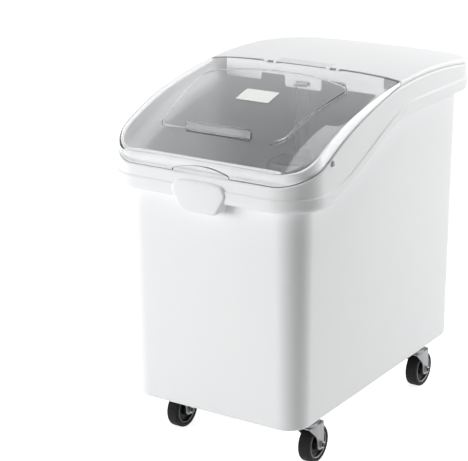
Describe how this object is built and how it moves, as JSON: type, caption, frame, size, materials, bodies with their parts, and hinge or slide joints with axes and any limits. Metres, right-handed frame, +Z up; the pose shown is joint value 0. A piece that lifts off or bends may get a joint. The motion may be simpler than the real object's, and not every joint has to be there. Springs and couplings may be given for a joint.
{
  "type": "rolling ingredient bin",
  "caption": "Tapered white tub on swivel casters with a domed fixed rear lid, a clear flip-up front lid with an upright pull, and a clear scoop hung inside.",
  "frame": {"origin": "on the floor under the middle of the bin", "axes": "+X to the right seen from the front, +Y to the rear, +Z up"},
  "size_m": [0.4384, 0.6944, 0.7168],
  "materials": {
    "white_plastic": "satin moulded polyethylene",
    "clear_plastic": "clear polycarbonate",
    "grey_plastic": "moulded",
    "zinc": "zinc plated pressed steel",
    "steel": "plated",
    "bush": "plain bearing bush",
    "wheel_black": "moulded",
    "tyre": "grey-black rubber"
  },
  "bodies": {
    "tub": {"tub": "white_plastic", "caster_plate_fl": "zinc", "caster_screws_fl": "steel", "kingpin_fl": "steel", "caster_plate_fr": "zinc", "caster_screws_fr": "steel", "kingpin_fr": "steel", "caster_plate_rl": "zinc", "caster_screws_rl": "steel", "kingpin_rl": "steel", "caster_plate_rr": "zinc", "caster_screws_rr": "steel", "kingpin_rr": "steel"},
    "rear_lid": {"rear_lid": "white_plastic", "hinge_pin_left": "steel", "hinge_pin_right": "steel"},
    "front_lid": {"front_lid": "clear_plastic"},
    "scoop": {"scoop": "clear_plastic", "scoop_saddle": "grey_plastic"},
    "caster_fork_fl": {"fork_fl": "zinc", "swivel_balls_fl": "steel", "axle_bolt_fl": "steel", "axle_nut_fl": "steel", "axle_bush_fl": "bush"},
    "caster_wheel_fl": {"wheel_core_fl": "wheel_black", "tyre_fl": "tyre"},
    "caster_fork_fr": {"fork_fr": "zinc", "swivel_balls_fr": "steel", "axle_bolt_fr": "steel", "axle_nut_fr": "steel", "axle_bush_fr": "bush"},
    "caster_wheel_fr": {"wheel_core_fr": "wheel_black", "tyre_fr": "tyre"},
    "caster_fork_rl": {"fork_rl": "zinc", "swivel_balls_rl": "steel", "axle_bolt_rl": "steel", "axle_nut_rl": "steel", "axle_bush_rl": "bush"},
    "caster_wheel_rl": {"wheel_core_rl": "wheel_black", "tyre_rl": "tyre"},
    "caster_fork_rr": {"fork_rr": "zinc", "swivel_balls_rr": "steel", "axle_bolt_rr": "steel", "axle_nut_rr": "steel", "axle_bush_rr": "bush"},
    "caster_wheel_rr": {"wheel_core_rr": "wheel_black", "tyre_rr": "tyre"}
  },
  "joints": [
    {"name": "rear_lid_lift", "type": "slide", "parent": "tub", "child": "rear_lid", "axis": [0, 0, 1], "range_m": [0, 0.15]},
    {"name": "front_lid_hinge", "type": "hinge", "parent": "rear_lid", "child": "front_lid", "pos_m": [0, 0.008, 0.70903], "axis": [-1, 0, 0], "range_deg": [0, 110]},
    {"name": "scoop_swing", "type": "hinge", "parent": "rear_lid", "child": "scoop", "pos_m": [0, 0.014, 0.669], "axis": [-1, 0, 0], "range_deg": [0, 10]},
    {"name": "swivel_fl", "type": "hinge", "parent": "tub", "child": "caster_fork_fl", "pos_m": [-0.1515, -0.216, 0.09], "axis": [0, 0, 1], "continuous": true},
    {"name": "wheel_spin_fl", "type": "hinge", "parent": "caster_fork_fl", "child": "caster_wheel_fl", "pos_m": [-0.1515, -0.196, 0.0375], "axis": [1, 0, 0], "continuous": true},
    {"name": "swivel_fr", "type": "hinge", "parent": "tub", "child": "caster_fork_fr", "pos_m": [0.1515, -0.216, 0.09], "axis": [0, 0, 1], "continuous": true},
    {"name": "wheel_spin_fr", "type": "hinge", "parent": "caster_fork_fr", "child": "caster_wheel_fr", "pos_m": [0.1515, -0.196, 0.0375], "axis": [1, 0, 0], "continuous": true},
    {"name": "swivel_rl", "type": "hinge", "parent": "tub", "child": "caster_fork_rl", "pos_m": [-0.1515, 0.216, 0.09], "axis": [0, 0, 1], "continuous": true},
    {"name": "wheel_spin_rl", "type": "hinge", "parent": "caster_fork_rl", "child": "caster_wheel_rl", "pos_m": [-0.1515, 0.236, 0.0375], "axis": [1, 0, 0], "continuous": true},
    {"name": "swivel_rr", "type": "hinge", "parent": "tub", "child": "caster_fork_rr", "pos_m": [0.1515, 0.216, 0.09], "axis": [0, 0, 1], "continuous": true},
    {"name": "wheel_spin_rr", "type": "hinge", "parent": "caster_fork_rr", "child": "caster_wheel_rr", "pos_m": [0.1515, 0.236, 0.0375], "axis": [1, 0, 0], "continuous": true}
  ]
}
